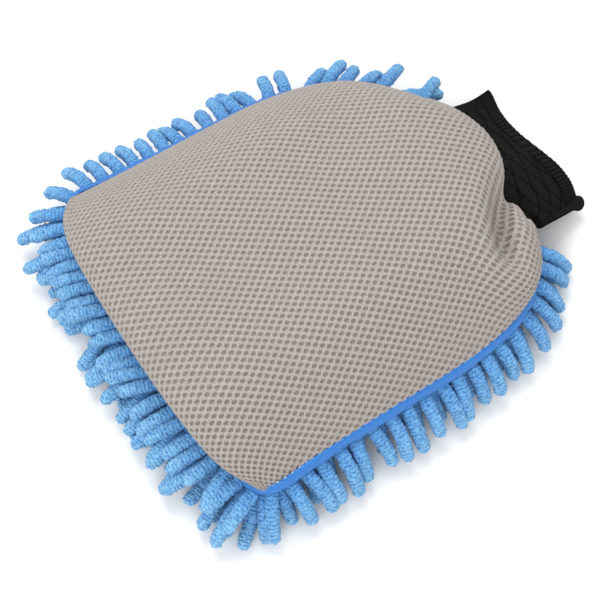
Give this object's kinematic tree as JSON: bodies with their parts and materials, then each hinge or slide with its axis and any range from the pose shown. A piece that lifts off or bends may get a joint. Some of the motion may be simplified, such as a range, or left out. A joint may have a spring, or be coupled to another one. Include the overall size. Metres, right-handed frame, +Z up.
{
  "type": "car wash mitt",
  "caption": "Two-sided car wash mitt: puffed spacer mesh face, chenille noodle face, bound seam and an elastic knit cuff that folds at the wrist.",
  "frame": {"origin": "on the ground, under the middle of the bounding box", "axes": "+Y from the fingertips to the cuff, +X across the palm, +Z up out of the mesh face"},
  "size_m": [0.2294, 0.2586, 0.065],
  "materials": {
    "mesh_face": "warm grey polyester spacer mesh with oval holes",
    "sponge": "open-cell polyurethane sponge",
    "lining": "grey knitted lining",
    "backing_cloth": "blue knitted ground cloth",
    "chenille": "matt blue microfibre chenille",
    "binding_tape": "blue twill tape with a slight sheen",
    "sewing_thread": "pale polyester thread",
    "rib_knit": "black elastic rib knit"
  },
  "bodies": {
    "mitt": {"mesh_panel": "mesh_face", "sponge_pad": "sponge", "lining_upper": "lining", "lining_lower": "lining", "chenille_backing": "backing_cloth", "edge_binding": "binding_tape", "binding_thread": "sewing_thread", "chenille_row_01": "chenille", "chenille_row_02": "chenille", "chenille_row_03": "chenille", "chenille_row_04": "chenille", "chenille_row_05": "chenille", "chenille_row_06": "chenille", "chenille_row_07": "chenille", "chenille_row_08": "chenille", "chenille_row_09": "chenille", "chenille_row_10": "chenille", "chenille_row_11": "chenille", "chenille_row_12": "chenille", "chenille_row_13": "chenille", "chenille_row_14": "chenille", "chenille_row_15": "chenille", "chenille_row_16": "chenille", "chenille_fringe_front": "chenille", "chenille_fringe_wrist_far": "chenille", "chenille_fringe_wrist_near": "chenille", "wrist_seam_tape": "binding_tape"},
    "cuff": {"wrist_cuff": "rib_knit", "cuff_side_seam": "rib_knit"}
  },
  "joints": [
    {"name": "cuff_fold", "type": "hinge", "parent": "mitt", "child": "cuff", "pos_m": [0.0025, 0.08472, 0.027], "axis": [1, 0, 0], "range_deg": [0, 55]}
  ]
}
